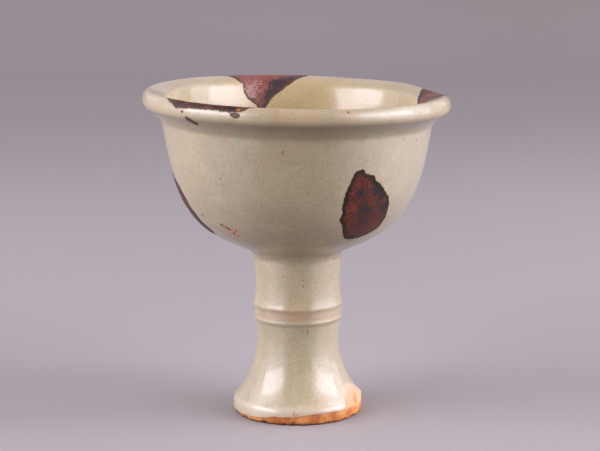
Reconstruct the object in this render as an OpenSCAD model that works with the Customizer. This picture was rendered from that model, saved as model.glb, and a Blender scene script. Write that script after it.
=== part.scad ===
// Stem cup: a thrown stoneware bowl with a rolled, everted lip, luted with slip onto a hollow stem
// that carries a bamboo-node band and spreads into a foot. A poured glaze lines the bowl, a dipped
// glaze covers the outside down to a slanting edge near the foot, and dabs of iron colour lie in it.
// Millimetres, Z up, the foot stands on Z = 0 and the axis is Z. The front is -Y; angles round the
// cup are counted from the front towards +X.

/* [Bowl] */
// Outside diameter over the lip
mouth_d = 88.6; // [82:0.2:96]
// Height from the table to the top of the lip
cup_h = 94.2; // [90:0.2:104]
// How far the lip stands out past the wall under it
lip_out = 5.4; // [4.8:0.1:6.6]
// Thickness of the rolled lip
lip_t = 4.1; // [3.6:0.1:4.6]
// Height from the outermost line of the lip to its top
lip_h = 2.95; // [2.2:0.05:3.4]
// Height of the concave neck together with the lip
neck_h = 9.2; // [8.4:0.1:10.6]
// Thickness of the glazed wall
wall_t = 3.1; // [2.8:0.1:4]
// Height of the slope inside, from the top of the lip down to the wall
slope_h = 6.7; // [5.8:0.1:8.4]
// Fall of the lip's top, from its crest to its inner edge
lip_fall = 1.6; // [1.2:0.1:2.2]
// Lean of the slope inside, from that edge in to the wall
slope_in = 1.55; // [1:0.05:2.2]
// Thickness of the glazed floor over the stem
floor_t = 5.4; // [4.6:0.1:7]

/* [Stem and foot] */
// Height of the underside of the bowl at the axis
stem_h = 47.7; // [46:0.1:52]
// Diameter of the upper stem at its narrowest
stem_d = 24.7; // [22.8:0.1:26]
// Diameter of the waist over the foot
waist_d = 23.8; // [21.4:0.1:24.4]
// Height of the waist
waist_h = 22; // [19:0.5:23.5]
// Height of the middle of the bamboo-node band
band_z = 30.2; // [29.2:0.1:31.6]
// Width of the band from ridge to ridge
band_w = 4.2; // [3.4:0.1:4.8]
// How far the ridges of the band stand out from the stem
band_out = 0.7; // [0.45:0.05:1]
// Diameter of the foot
foot_d = 38.2; // [34:0.2:42]
// Height of the upright rim of the foot
rim_h = 4.2; // [3.4:0.1:5]
// Diameter of the hollow at the bottom of the foot
hollow_d = 27; // [24:0.2:28]
// Diameter of the hollow at the top of the stem
bore_d = 12; // [9:0.2:14]

/* [Slip joint] */
// Thickness of the slip between stem and bowl at the hollow
slip_t = 0.6; // [0.4:0.05:1]
// How far the collar of squeezed-out slip reaches past the stem
collar_w = 7; // [5:0.1:8.5]
// How far the collar reaches down the stem
collar_l = 2.2; // [1.6:0.1:4]

/* [Glaze] */
// Thickness of both glazes
glaze_t = 0.45; // [0.3:0.05:0.5]
// Height of the glaze edge on the side where it runs lowest
edge_low = 0.8; // [0.7:0.1:2]
// Height of the glaze edge on the side where it stops highest
edge_high = 3.9; // [2:0.1:4.4]
// Angle round the cup of the highest point of the glaze edge
edge_az = 78; // [0:1:180]
// Width of the bare finger mark over the glaze edge
mark_w = 8; // [4:0.5:10]
// Height of the finger mark
mark_l = 5.4; // [3:0.1:6]
// Angle round the cup of the finger mark
mark_az = 68; // [0:1:180]

/* [Iron colour] */
// Angle round the cup of the front spot, with the two others a third of a turn away
spot_az = 37; // [0:1:60]
// Width of a spot
spot_w = 17; // [10:0.5:20]
// Length of a spot along the wall
spot_l = 24; // [14:0.5:26]
// Height of the middle of the spots over the underside of the bowl
spot_up = 16.7; // [14:0.1:20]
// Angle round the cup of the front splash on the lip
splash_front_az = -41; // [-60:1:-20]
// Width of the front splash
splash_front_w = 31; // [16:0.5:34]
// Angle round the cup of the right splash on the lip
splash_right_az = 98; // [80:1:120]
// Width of the right splash
splash_right_w = 17; // [10:0.5:24]
// Angle round the cup of the back splash on the lip
splash_back_az = 195; // [180:1:220]
// Width of the back splash
splash_back_w = 21; // [10:0.5:26]
// How far the splashes run down inside, from the top of the lip
splash_l = 8; // [5:0.5:11]

/* [Hidden] */
$fn = 96;
mouth_r = mouth_d / 2;
wall_r = mouth_r - lip_out;
lip_r = lip_t / 2;
lip_c = [mouth_r - lip_r, cup_h - lip_h];
neck_z = cup_h - neck_h;
slope_z = cup_h - slope_h;
stem_r = stem_d / 2;
waist_r = waist_d / 2;
foot_r = foot_d / 2;
clay_foot_r = foot_r - glaze_t;
hollow_r = hollow_d / 2;
bore_r = bore_d / 2;
floor_z = stem_h + floor_t;
// worn edges of the foot
foot_wear = 0.6;
// height of the rounding that ends the upright rim of the foot
shoulder_h = 1.1;
// turn from one spot to the next
spot_step = 120;
// how far round the lip's roll goes before its top falls inwards
lip_turn = 100;
// reach of the rounding of the lip's inner edge
edge_round = 0.9;
// reach of the cuts that lift the marks out of the glaze
cut_t = 9;

function mix(a, b, t) = a + (b - a) * t;

// the point at t on the curve ruled by any number of control points
function bend(p, t) =
    len(p) == 1 ? p[0] : bend([for (i = [0 : len(p) - 2]) mix(p[i], p[i + 1], t)], t);

// n steps along a curve, without its first point unless first is 0
function curve(p, n, from = 0, to = 1, first = 1) =
    [for (i = [first : n]) bend(p, mix(from, to, i / n))];

// a point of an ellipse with the half axes r, and the direction of the ellipse there
function around(r, a) = [r[0] * cos(a), r[1] * sin(a)];
function heading_around(r, a) = [-r[0] * sin(a), r[1] * cos(a)];

// points round an arc with the half axes r, without its first point
function arc(c, r, from, to, n) = [for (i = [1 : n]) c + around(r, mix(from, to, i / n))];

// a path moved to its left by d, with its ends on the axis kept there
function inset(p, d) = [
    for (i = [0 : len(p) - 1])
        let (a = p[max(i - 1, 0)])
        let (b = p[min(i + 1, len(p) - 1)])
        let (v = (b - a) / norm(b - a))
        let (q = p[i] + d * [-v[1], v[0]])
        [p[i][0] == 0 ? 0 : q[0], q[1]]
];

function part(p, from, to) = [for (i = [from : to]) p[i]];

function back(p) = [for (i = [len(p) - 1 : -1 : 0]) p[i]];

function last(p) = p[len(p) - 1];

// the point at a distance from one point towards another
function toward(a, b, d) = a + d * (b - a) / norm(b - a);

// Outside outline from the foot up: upright rim, rounded shoulder, spreading foot, waist
flare_r = (pow(foot_r - waist_r, 2) + pow(waist_h - rim_h, 2)) / (2 * (foot_r - waist_r));
flare_c = [waist_r + flare_r, waist_h];
flare_a = 180 + asin((waist_h - rim_h) / flare_r);
shoulder_a = flare_a - 2.6;
shoulder = flare_c + flare_r * [cos(shoulder_a), sin(shoulder_a)];
foot_line = concat(
    [[foot_r, 0], [foot_r, rim_h - shoulder_h]],
    curve([[foot_r, rim_h - shoulder_h], [foot_r, rim_h], shoulder], 4),
    arc(flare_c, [flare_r, flare_r], shoulder_a, 180, 9)
);

// lower stem, the band with a sharp step under it and two soft ridges, upper stem
ridge_r = stem_r + band_out;
band_lo = [stem_r, band_z - band_w / 2 - 0.9];
ridge_lo = [ridge_r - 0.1, band_z - band_w / 2 + 0.25];
ridge_hi = [ridge_r, band_z + band_w / 2];
stem_mid = [stem_r, mix(ridge_hi[1], stem_h, 0.4)];
stem_top = [stem_r + 0.3, stem_h - collar_l];
stem_line = concat(
    curve([[waist_r, waist_h], [waist_r, waist_h + 2], band_lo - [0.2, 1.6], band_lo], 5),
    curve([band_lo, [ridge_r, band_lo[1] + 0.1], ridge_lo], 3),
    curve([ridge_lo, [ridge_r - 0.45, band_z], ridge_hi], 5),
    curve([ridge_hi, ridge_hi + [0, 0.8], [stem_r, ridge_hi[1] + 2], stem_mid], 5),
    curve([stem_mid, stem_mid + [0, 3], stem_top - [0, 2.6], stem_top], 4)
);

// underside and wall of the bowl as one curve, met by the rounding at the top of the stem
function bowl_shape(r, z, top) = [
    [0, z],
    [r * 0.68, z],
    [r * 0.895, mix(z, top, 0.316)],
    [r * 0.928, mix(z, top, 0.578)],
    [r, top]
];

bowl_curve = bowl_shape(wall_r, stem_h, neck_z);

// how far along the bowl's curve it reaches a radius (axis 0) or a height (axis 1)
function reach(axis, size) =
    lookup(size, [for (i = [0 : 80]) [bend(bowl_curve, i / 80)[axis], i / 80]]);

// direction of the bowl's curve there
function heading(t) = bend(bowl_curve, t + 0.01) - bend(bowl_curve, t - 0.01);

joint_at = reach(0, stem_top[0] + collar_w);
joint_end = bend(bowl_curve, joint_at);
joint_way = heading(joint_at);
joint_bend = [stem_top[0], joint_end[1] - (joint_end[0] - stem_top[0]) * joint_way[1] / joint_way[0]];
joint_line = curve([stem_top, joint_bend, joint_end], 7);
bowl_line = curve(bowl_curve, 16, joint_at, 1);

// concave neck and the lower half of the lip, up to the lip's outermost point
lip_under = lip_c + lip_r * [cos(60), -sin(60)];
neck_line = curve([
    [wall_r, neck_z],
    [wall_r + 0.3, neck_z + 1.6],
    lip_under - 1.6 * [sin(60), cos(60)],
    lip_under
], 6);
lip_low = arc(lip_c, [lip_r, lip_r], -60, 0, 3);

// upper half of the lip, its top falling to the inner edge, the slope, the wall inside and the floor
lip_high = arc(lip_c, [lip_r, lip_h], 0, lip_turn, 6);
inner_r = wall_r - wall_t;
lip_edge = [inner_r + slope_in, cup_h - lip_fall];
crest = last(lip_high);
crest_way = heading_around([lip_r, lip_h], lip_turn);
crest_bend = crest + crest_way * 0.53 * (lip_edge[0] - crest[0]) / crest_way[0];
slope_bend = [inner_r + slope_in * 0.36, mix(slope_z, lip_edge[1], 0.57)];
edge_from = toward(lip_edge, crest_bend, edge_round);
edge_to = toward(lip_edge, slope_bend, edge_round);
slope_line = concat(
    curve([crest, crest_bend, edge_from], 3),
    curve([edge_from, lip_edge, edge_to], 4),
    curve([edge_to, slope_bend, [inner_r, slope_z]], 4)
);
inner_line = curve(back(bowl_shape(inner_r, floor_z, slope_z)), 16);

outside = concat(foot_line, stem_line, joint_line, bowl_line, neck_line, lip_low);
inside = concat(lip_high, slope_line, inner_line);
skin = concat(outside, inside);
clay = inset(skin, glaze_t);
seam = len(outside) - 1;
// places along the outline: top of the stem, end of the slip
stem_end = len(foot_line) + len(stem_line) + 3;
slip_end = len(foot_line) + len(stem_line) + len(joint_line) - 1;

// underside of the bowl over the slip and the hollow
under = part(inset(curve(bowl_curve, 6, 0, joint_at, 0), glaze_t), 0, 5);
under_bore = [bore_r, lookup(bore_r, concat(under, [clay[slip_end]]))];
under_ring = concat([under_bore], [for (p = under) if (p[0] > bore_r + 0.05) p]);
stem_seat = under_bore - [0, slip_t];

hollow_line = curve([
    stem_seat,
    [bore_r, waist_h],
    [mix(bore_r, hollow_r, 0.5), waist_h * 0.4],
    [hollow_r, foot_wear]
], 10);

// a dab of brush or finger: egg-shaped, pointed upwards by taper, leaning sideways
function dab(w, l, taper = 0, lean = 0) = [
    for (i = [0 : 39])
        let (a = 9 * i)
        let (half = w / 2 * (1 - taper * sin(a)) * (1 + 0.04 * cos(5 * a)))
        [half * cos(a) + lean * sin(a), l / 2 * sin(a)]
];

// a dab pushed straight into the wall at a point of the outline, az round the cup, dipping by tilt
module press(az, at, tilt = 0)
    rotate([0, 0, az])
        translate([0, -at[0], at[1]])
            rotate([90 + tilt, 0, 0])
                translate([0, 0, -cut_t])
                    linear_extrude(2 * cut_t)
                        children();

spot_at = reach(1, stem_h + spot_up);
spot_on = bend(bowl_curve, spot_at);
spot_way = heading(spot_at);
spot_tilt = atan2(spot_way[0], spot_way[1]);

module spot(turn)
    press(spot_az + turn, spot_on, spot_tilt)
        polygon(dab(spot_w, spot_l, 0.3, -spot_w * 0.16));

module splash(az, w)
    press(az, [lip_c[0], cup_h - splash_l / 3])
        polygon(dab(w, splash_l * 4 / 3, -0.25, w * 0.06));

module splashes() {
    splash(splash_front_az, splash_front_w);
    splash(splash_right_az, splash_right_w);
    splash(splash_back_az, splash_back_w);
}

module finger_mark()
    press(mark_az, [foot_r, edge_high + mark_l / 9])
        polygon(dab(mark_w, mark_l));

// everything under the slanting edge of the outside glaze
module under_edge()
    rotate([0, 0, edge_az])
        translate([0, 0, (edge_low + edge_high) / 2])
            rotate([-atan((edge_high - edge_low) / foot_d), 0, 0])
                translate([-foot_d, -foot_d, -foot_d])
                    cube([2 * foot_d, 2 * foot_d, foot_d]);

module coat(from, to)
    rotate_extrude()
        polygon(concat(part(skin, from, to), back(part(clay, from, to))));

module coat_outside()
    coat(0, seam);

module coat_inside()
    coat(seam, len(skin) - 1);

// thrown bowl, its underside closing the hollow of the stem
module bowl_body()
    color([0.72, 0.47, 0.31])
        rotate_extrude()
            polygon(concat(under, part(clay, slip_end, len(clay) - 1)));

// thrown stem and foot, open right through, its top dished for the bowl
module stem_body()
    color([0.78, 0.52, 0.34])
        rotate_extrude()
            polygon(concat(
                [[hollow_r + foot_wear, 0], [clay_foot_r - foot_wear, 0], [clay_foot_r, foot_wear]],
                part(clay, 1, stem_end),
                [stem_seat],
                hollow_line
            ));

// bed of slip between the two, squeezed out into a rounded collar
module luting_slip()
    color([0.62, 0.42, 0.3])
        rotate_extrude()
            polygon(concat(
                part(clay, stem_end, slip_end),
                back(under_ring),
                [stem_seat]
            ));

// poured glaze: floor, wall and the lip as far as its outermost point
module glaze_inside()
    color([0.8, 0.75, 0.62])
        difference() {
            coat_inside();
            splashes();
        }

// dipped glaze: from the lip down to the slanting edge over the bare foot
module glaze_outside()
    color([0.76, 0.71, 0.58])
        difference() {
            coat_outside();
            under_edge();
            finger_mark();
            spot(0);
            spot(-spot_step);
            spot(spot_step);
        }

// iron colour sunk right through the outside glaze
module iron_spot(turn)
    color([0.3, 0.14, 0.09])
        intersection() {
            coat_outside();
            spot(turn);
        }

module iron_spot_front()
    iron_spot(0);

module iron_spot_left()
    iron_spot(-spot_step);

module iron_spot_back()
    iron_spot(spot_step);

// iron colour sunk through the inside glaze, over the lip and down the wall
module iron_splash(az, w)
    color([0.24, 0.13, 0.09])
        intersection() {
            coat_inside();
            splash(az, w);
        }

module iron_splash_front()
    iron_splash(splash_front_az, splash_front_w);

module iron_splash_right()
    iron_splash(splash_right_az, splash_right_w);

module iron_splash_back()
    iron_splash(splash_back_az, splash_back_w);

bowl_body();
stem_body();
luting_slip();
glaze_inside();
glaze_outside();
iron_spot_front();
iron_spot_left();
iron_spot_back();
iron_splash_front();
iron_splash_right();
iron_splash_back();
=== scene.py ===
import math

import bpy
import numpy as np
from mathutils import Matrix, Vector


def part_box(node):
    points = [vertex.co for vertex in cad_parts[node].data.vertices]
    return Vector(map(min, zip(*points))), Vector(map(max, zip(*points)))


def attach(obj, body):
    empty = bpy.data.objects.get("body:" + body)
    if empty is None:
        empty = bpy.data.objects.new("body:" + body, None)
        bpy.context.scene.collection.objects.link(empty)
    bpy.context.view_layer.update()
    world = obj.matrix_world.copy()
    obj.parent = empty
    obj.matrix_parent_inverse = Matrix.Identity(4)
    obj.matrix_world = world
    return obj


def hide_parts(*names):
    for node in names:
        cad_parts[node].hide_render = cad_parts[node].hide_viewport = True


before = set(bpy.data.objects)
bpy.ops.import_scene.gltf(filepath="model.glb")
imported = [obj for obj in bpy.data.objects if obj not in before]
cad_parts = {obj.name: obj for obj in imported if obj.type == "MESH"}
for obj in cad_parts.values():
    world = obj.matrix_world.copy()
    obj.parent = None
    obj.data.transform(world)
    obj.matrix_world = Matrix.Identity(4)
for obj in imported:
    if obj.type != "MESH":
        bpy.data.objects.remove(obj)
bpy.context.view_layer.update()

MM = 0.001


# Sizes, in mm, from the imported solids
def span(node):
    lo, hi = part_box(node)
    return np.array(lo) / MM, np.array(hi) / MM


mouth_r = span("glaze_inside")[1][0]
cup_h = span("glaze_inside")[1][2]
glaze_t = cup_h - span("bowl_body")[1][2]
foot_r = span("stem_body")[1][0] + glaze_t
stem_h = span("bowl_body")[0][2] - glaze_t
floor_z = span("glaze_inside")[0][2] + glaze_t

# the same outline as the solids, in smooth curves
lip_r, lip_rise, lip_out, neck_h, wall_t = 2.05, 2.95, 5.4, 9.2, 3.1
slope_h, slope_in, lip_fall, edge_round = 6.7, 1.55, 1.6, 0.9
stem_r, waist_r, waist_h, collar_w, collar_l = 12.35, 11.9, 22.0, 7.0, 2.2
band_z, band_w, band_out = 30.2, 4.2, 0.7
rim_h, shoulder_h = 4.2, 1.1
hollow_r, bore_r, foot_wear, slip_t = 13.5, 6.0, 0.6, 0.6
collar_out, neck_pull, flare_lead_deg, crest_deg = 0.3, 1.6, 2.6, 100
crest_share, slope_share_in, slope_share_up, stem_share = 0.53, 0.36, 0.57, 0.4
band_lead, band_sink, ridge_step, ridge_lift, ridge_dip = 1.3, 0.05, 0.16, 0.35, 0.45
# the bowl's curve: its control points as shares of the radius and of the rise
bowl_curve = ((0, 0), (0.68, 0), (0.895, 0.316), (0.928, 0.578), (1, 1))


# Outline of the finished surface
def bend(points, t):
    """A Bezier curve at the shares t of its way."""
    q = [np.asarray(p, float)[None, :] for p in points]
    t = np.asarray(t, float)[:, None]
    while len(q) > 1:
        q = [a + (b - a) * t for a, b in zip(q[:-1], q[1:])]
    return q[0]


def arc(c, r, a, b, high=None):
    t = np.radians(np.linspace(a, b, 61))
    return np.stack([c[0] + r * np.cos(t), c[1] + (high or r) * np.sin(t)], 1)


def joined(curves):
    """One line of curves that each start where the last one ends."""
    return np.concatenate([curves[0]] + [c[1:] for c in curves[1:]])


def bowl_shape(r, z, neck_z):
    return [(r * a, z + (neck_z - z) * b) for a, b in bowl_curve]


def outline():
    """Points from the foot over the lip to the floor, their lengths along the line, and the lip's."""
    u = np.linspace(0, 1, 61)
    wall_r, neck_z = mouth_r - lip_out, cup_h - neck_h
    dr, dz = foot_r - waist_r, waist_h - rim_h
    flare_r = (dr * dr + dz * dz) / (2 * dr)
    flare_a = 180 + math.degrees(math.asin(dz / flare_r)) - flare_lead_deg
    flare = arc((waist_r + flare_r, waist_h), flare_r, flare_a, 180)
    ridge = stem_r + band_out
    band_lo = np.array([stem_r - band_sink, band_z - band_w / 2 - band_lead])
    ridge_lo = np.array([ridge - ridge_step, band_z - band_w / 2 + ridge_lift])
    ridge_hi = np.array([ridge, band_z + band_w / 2])
    mid = np.array([stem_r, ridge_hi[1] + (stem_h - ridge_hi[1]) * stem_share])
    top = np.array([stem_r + collar_out, stem_h - collar_l])
    bowl = bowl_shape(wall_r, stem_h, neck_z)
    t = np.linspace(0, 1, 2001)
    start = np.interp(top[0] + collar_w, bend(bowl, t)[:, 0], t)
    end = bend(bowl, [start])[0]
    way = (bend(bowl, [start + 0.01]) - bend(bowl, [start - 0.01]))[0]
    turn = np.array([top[0], end[1] - (end[0] - top[0]) * way[1] / way[0]])
    lip_c = np.array([mouth_r - lip_r, cup_h - lip_rise])
    under = lip_c + lip_r * np.array([0.5, -math.sqrt(0.75)])
    lean = np.array([math.sqrt(0.75), 0.5])
    outside = joined([
        bend([(foot_r, 0), (foot_r, rim_h - shoulder_h)], u),
        bend([(foot_r, rim_h - shoulder_h), (foot_r, rim_h), flare[0]], u),
        flare,
        bend([(waist_r, waist_h), (waist_r, waist_h + 2), band_lo - [0.2, 1.6], band_lo], u),
        bend([band_lo, band_lo + [0.05, 0.6], ridge_lo - [0.05, 0.6], ridge_lo], u),
        bend([ridge_lo, (ridge - ridge_dip, band_z), ridge_hi], u),
        bend([ridge_hi, ridge_hi + [0, 0.8], (stem_r, ridge_hi[1] + 2), mid], u),
        bend([mid, mid + [0, 3], top - [0, 2.6], top], u),
        bend([top, turn, end], u),
        bend(bowl, start + (1 - start) * u),
        bend([(wall_r, neck_z), (wall_r + 0.3, neck_z + neck_pull), under - neck_pull * lean, under], u),
        arc(lip_c, lip_r, -60, 0),
    ])
    inner_r, slope_z = wall_r - wall_t, cup_h - slope_h
    over = arc(lip_c, lip_r, 0, crest_deg, high=lip_rise)
    edge = np.array([inner_r + slope_in, cup_h - lip_fall])
    crest_a = math.radians(crest_deg)
    way = np.array([-lip_r * math.sin(crest_a), lip_rise * math.cos(crest_a)])
    crest = over[-1] + way * crest_share * (edge[0] - over[-1][0]) / way[0]
    slope = np.array([inner_r + slope_in * slope_share_in, slope_z + (edge[1] - slope_z) * slope_share_up])
    edge_from, edge_to = (edge + edge_round * (q - edge) / np.linalg.norm(q - edge)
                          for q in (crest, slope))
    inside = joined([
        over,
        bend([over[-1], crest, edge_from], u),
        bend([edge_from, edge, edge_to], u),
        bend([edge_to, slope, (inner_r, slope_z)], u),
        bend(bowl_shape(inner_r, floor_z, slope_z)[::-1], u),
    ])
    line = np.concatenate([outside, inside[1:]])
    s = np.concatenate([[0], np.cumsum(np.hypot(*np.diff(line, axis=0).T))])
    return line, s, s[len(outside) - 1]


LINE, ALONG, LIP = outline()
END = ALONG[-1]
# radius, height and outward normal at close lengths along the line
FINE = np.append(np.arange(0, END, 0.1), END)
PR = np.interp(FINE, ALONG, LINE[:, 0])
PZ = np.interp(FINE, ALONG, LINE[:, 1])
OUT = FINE <= LIP


def outward():
    """Unit normals along the line, evened out over its corners."""
    way = np.stack([np.gradient(PR, FINE), np.gradient(PZ, FINE)], 1)
    even = np.ones(7) / 7
    way = np.stack([np.convolve(np.pad(way[:, i], 3, mode="edge"), even, "valid") for i in (0, 1)], 1)
    way /= np.linalg.norm(way, axis=1)[:, None]
    return way[:, 1], -way[:, 0]


def along(z):
    """Length along the outside at a height."""
    return np.interp(z, PZ[OUT], FINE[OUT])


NR, NZ = outward()
JOINT_LO = along(stem_h - collar_l)
JOINT_HI = FINE[OUT & (PZ > stem_h) & (PR >= stem_r + collar_out + collar_w)][0]
# the middle of the joint's hollow, where the surface looks down and out alike
CREASE = FINE[np.argmin(np.where((FINE > JOINT_LO) & (FINE < JOINT_HI), abs(NR + NZ), 9.0))]
BOWL = bend(bowl_shape(mouth_r - lip_out, stem_h, cup_h - neck_h), np.linspace(0, 1, 201))


# Hand-made unevenness
def noise(p, seed):
    """Smooth noise between -1 and 1 at points of three columns, one lattice cell per unit."""
    p = np.asarray(p, float)
    base = np.floor(p).astype(np.int64)
    f = p - base
    f = f * f * f * (f * (f * 6 - 15) + 10)
    total = 0
    for corner in range(8):
        o = np.array([corner & 1, corner >> 1 & 1, corner >> 2 & 1])
        q = base + o
        h = q[..., 0] * 374761393 + q[..., 1] * 668265263 + q[..., 2] * 2147483647 + seed * 1013904223
        h = (h ^ (h >> 13)) * 1274126177
        h = ((h ^ (h >> 16)) & 0xFFFF) / 32767.5 - 1
        w = np.prod(np.where(o == 1, f, 1 - f), axis=-1)
        total = total + h * w
    return total


def step(x, a, b):
    """A smooth step from 0 at a to 1 at b."""
    t = np.clip((x - a) / (b - a), 0, 1)
    return t * t * (3 - 2 * t)


# ridges of the band: height over its middle, width, how far they stand out
BAND_RIDGES = ((band_w / 2, 0.7, 0.09), (0.95, 0.8, -0.08),
               (1.0 - band_w / 2, 0.7, -0.05), (0.25 - band_w / 2, 0.7, 0.04))
CREASE_DEEP, CREASE_WIDE = 0.5, 1.8
RING_HIGH, RING_PITCH = 0.012, 4.3


def relief(s, az):
    """Wobble and throwing rings of the wall, ridges of the band and the crease at the joint, in mm."""
    s, az = np.broadcast_arrays(np.asarray(s, float), np.asarray(az, float))
    r = np.interp(s, FINE, PR)
    c = np.stack([r * np.sin(az), -r * np.cos(az), s], -1)
    low = 0.09 * noise(c / 17, 3) + 0.02 * noise(c / 6.5, 4)
    foot = 0.045 * noise(c / 5.2, 5) * (1 - step(s, 44, 52))
    band = sum(high * np.exp(-((s - along(band_z + z)) / wide) ** 2) for z, wide, high in BAND_RIDGES)
    rings = RING_HIGH * np.sin(2 * math.pi * (s + 0.5 * np.sin(az)) / RING_PITCH + 1.5 * noise(c / 30, 6))
    rings = rings * step(s, 56, 62) * (1 - step(s, END - 24, END - 10))
    crease = -CREASE_DEEP * np.exp(-((s - CREASE) / CREASE_WIDE) ** 2) * (1 + 0.25 * noise(c / 5, 8))
    keep = step(s, 0.5, 3) * (1 - step(s, END - 14, END - 4))
    return (low + foot) * keep + crease + band * (1 + 0.5 * noise(c / 4, 7)) + rings


# the rim leans to one side from a height up, and dips at one place
RIM_TILT, RIM_TWIST, RIM_FROM = 0.0255, 0.004, 56
DIP_DEEP, DIP_AT_DEG, DIP_WIDE_DEG, DIP_FROM = 0.85, 106, 15, 80


def settle(r, z, az):
    """Points in metres round the axis, the rim sunk a little to one side as it slumped in the kiln."""
    x, y = r * np.sin(az), -r * np.cos(az)
    w = step(z, RIM_FROM, cup_h)
    turn = (np.degrees(az) - DIP_AT_DEG + 180) % 360 - 180
    dip = DIP_DEEP * np.exp(-(turn / DIP_WIDE_DEG) ** 2) * step(z, DIP_FROM, cup_h - 2)
    return np.stack([x, y, z - (RIM_TILT * x + RIM_TWIST * x * y / mouth_r) * w - dip], -1) * MM


def skin(s, az, d=0.0):
    """Points at length s and azimuth az (from the front towards +X), d mm outside the finished surface."""
    s, az, d = np.broadcast_arrays(np.asarray(s, float), np.asarray(az, float), np.asarray(d, float))
    d = d + relief(s, az)
    r = np.interp(s, FINE, PR) + d * np.interp(s, FINE, NR)
    z = np.interp(s, FINE, PZ) + d * np.interp(s, FINE, NZ)
    return settle(np.maximum(r, 0), z, az)


def facing(f, s, az, s_step=0.04, az_step=0.002):
    """Unit normals of a surface f(s, az)."""
    up = f(s + s_step, az) - f(s - s_step, az)
    across = f(s, az + az_step) - f(s, az - az_step)
    n = np.cross(across, up)
    return n / np.maximum(np.linalg.norm(n, axis=-1, keepdims=True), 1e-12)


# Meshes
def revolved(rows, ring=False):
    """Vertices and faces of rows of points round an axis; a row of one point is a pole."""
    starts = np.cumsum([0] + [len(r) for r in rows])
    faces = []
    pairs = list(zip(range(len(rows) - 1), range(1, len(rows))))
    if ring:
        pairs.append((len(rows) - 1, 0))
    for i, j in pairs:
        a, b = starts[i] + np.arange(len(rows[i])), starts[j] + np.arange(len(rows[j]))
        if len(a) > 1 and len(b) > 1:
            faces += np.stack([a, np.roll(a, -1), np.roll(b, -1), b], 1).tolist()
        elif len(a) > 1:
            faces += [[p, q, b[0]] for p, q in zip(a.tolist(), np.roll(a, -1).tolist())]
        elif len(b) > 1:
            faces += [[a[0], q, p] for p, q in zip(b.tolist(), np.roll(b, -1).tolist())]
    return np.concatenate(rows), faces


def placed(name, data):
    """A new object in the scene."""
    thing = bpy.data.objects.new(name, data)
    bpy.context.scene.collection.objects.link(thing)
    return thing


def smooth_mesh(name, verts, faces):
    mesh = bpy.data.meshes.new(name)
    mesh.from_pydata(np.asarray(verts).tolist(), [], faces)
    mesh.polygons.foreach_set("use_smooth", np.ones(len(faces), bool))
    return mesh


def solid(name, verts, faces, node, material, normals=None, attributes=None):
    """A closed piece that stands for a node; normals are given for some vertices, zero elsewhere."""
    mesh = smooth_mesh(name, verts, faces)
    for key, values in (attributes or {}).items():
        a = mesh.attributes.new(key, "FLOAT", "POINT")
        a.data.foreach_set("value", np.asarray(values, np.float32))
    mesh.materials.append(material)
    mesh.validate()
    mesh.update()
    if normals is not None:
        ids = np.empty(len(mesh.loops), np.int32)
        mesh.loops.foreach_get("vertex_index", ids)
        n = normals[ids]
        # a face keeps the given normals only where all its corners have one
        has = np.linalg.norm(n, axis=1) > 0.5
        sizes = np.empty(len(mesh.polygons), np.int32)
        mesh.polygons.foreach_get("loop_total", sizes)
        face = np.repeat(np.arange(len(sizes)), sizes)
        whole = np.bincount(face, has, len(sizes)) == sizes
        n = np.where(whole[face][:, None], n, 0)
        mesh.normals_split_custom_set(n.tolist())
    piece = placed(name, mesh)
    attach(piece, "root")
    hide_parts(node)


def spaced(a, b, pace):
    """Lengths from a to b with a spacing that pace(s) gives in mm."""
    t = np.linspace(a, b, 4000)
    n = np.concatenate([[0], np.cumsum(np.diff(t) / pace((t[1:] + t[:-1]) / 2))])
    return np.interp(np.linspace(0, n[-1], int(round(n[-1])) + 1), n, t)


# Shader helpers
def rgb(*levels):
    """A linear colour from sRGB levels of 0 to 255."""
    shares = [v / 255 for v in levels]
    return tuple(v / 12.92 if v <= 0.04045 else ((v + 0.055) / 1.055) ** 2.4 for v in shares) + (1.0,)


WHITE, BLACK = rgb(255, 255, 255), rgb(0, 0, 0)


def mm(s, az_deg, d=0.0):
    """A place on the wall in mm."""
    return tuple(float(v) for v in skin(s, math.radians(az_deg), d) / MM)


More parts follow.
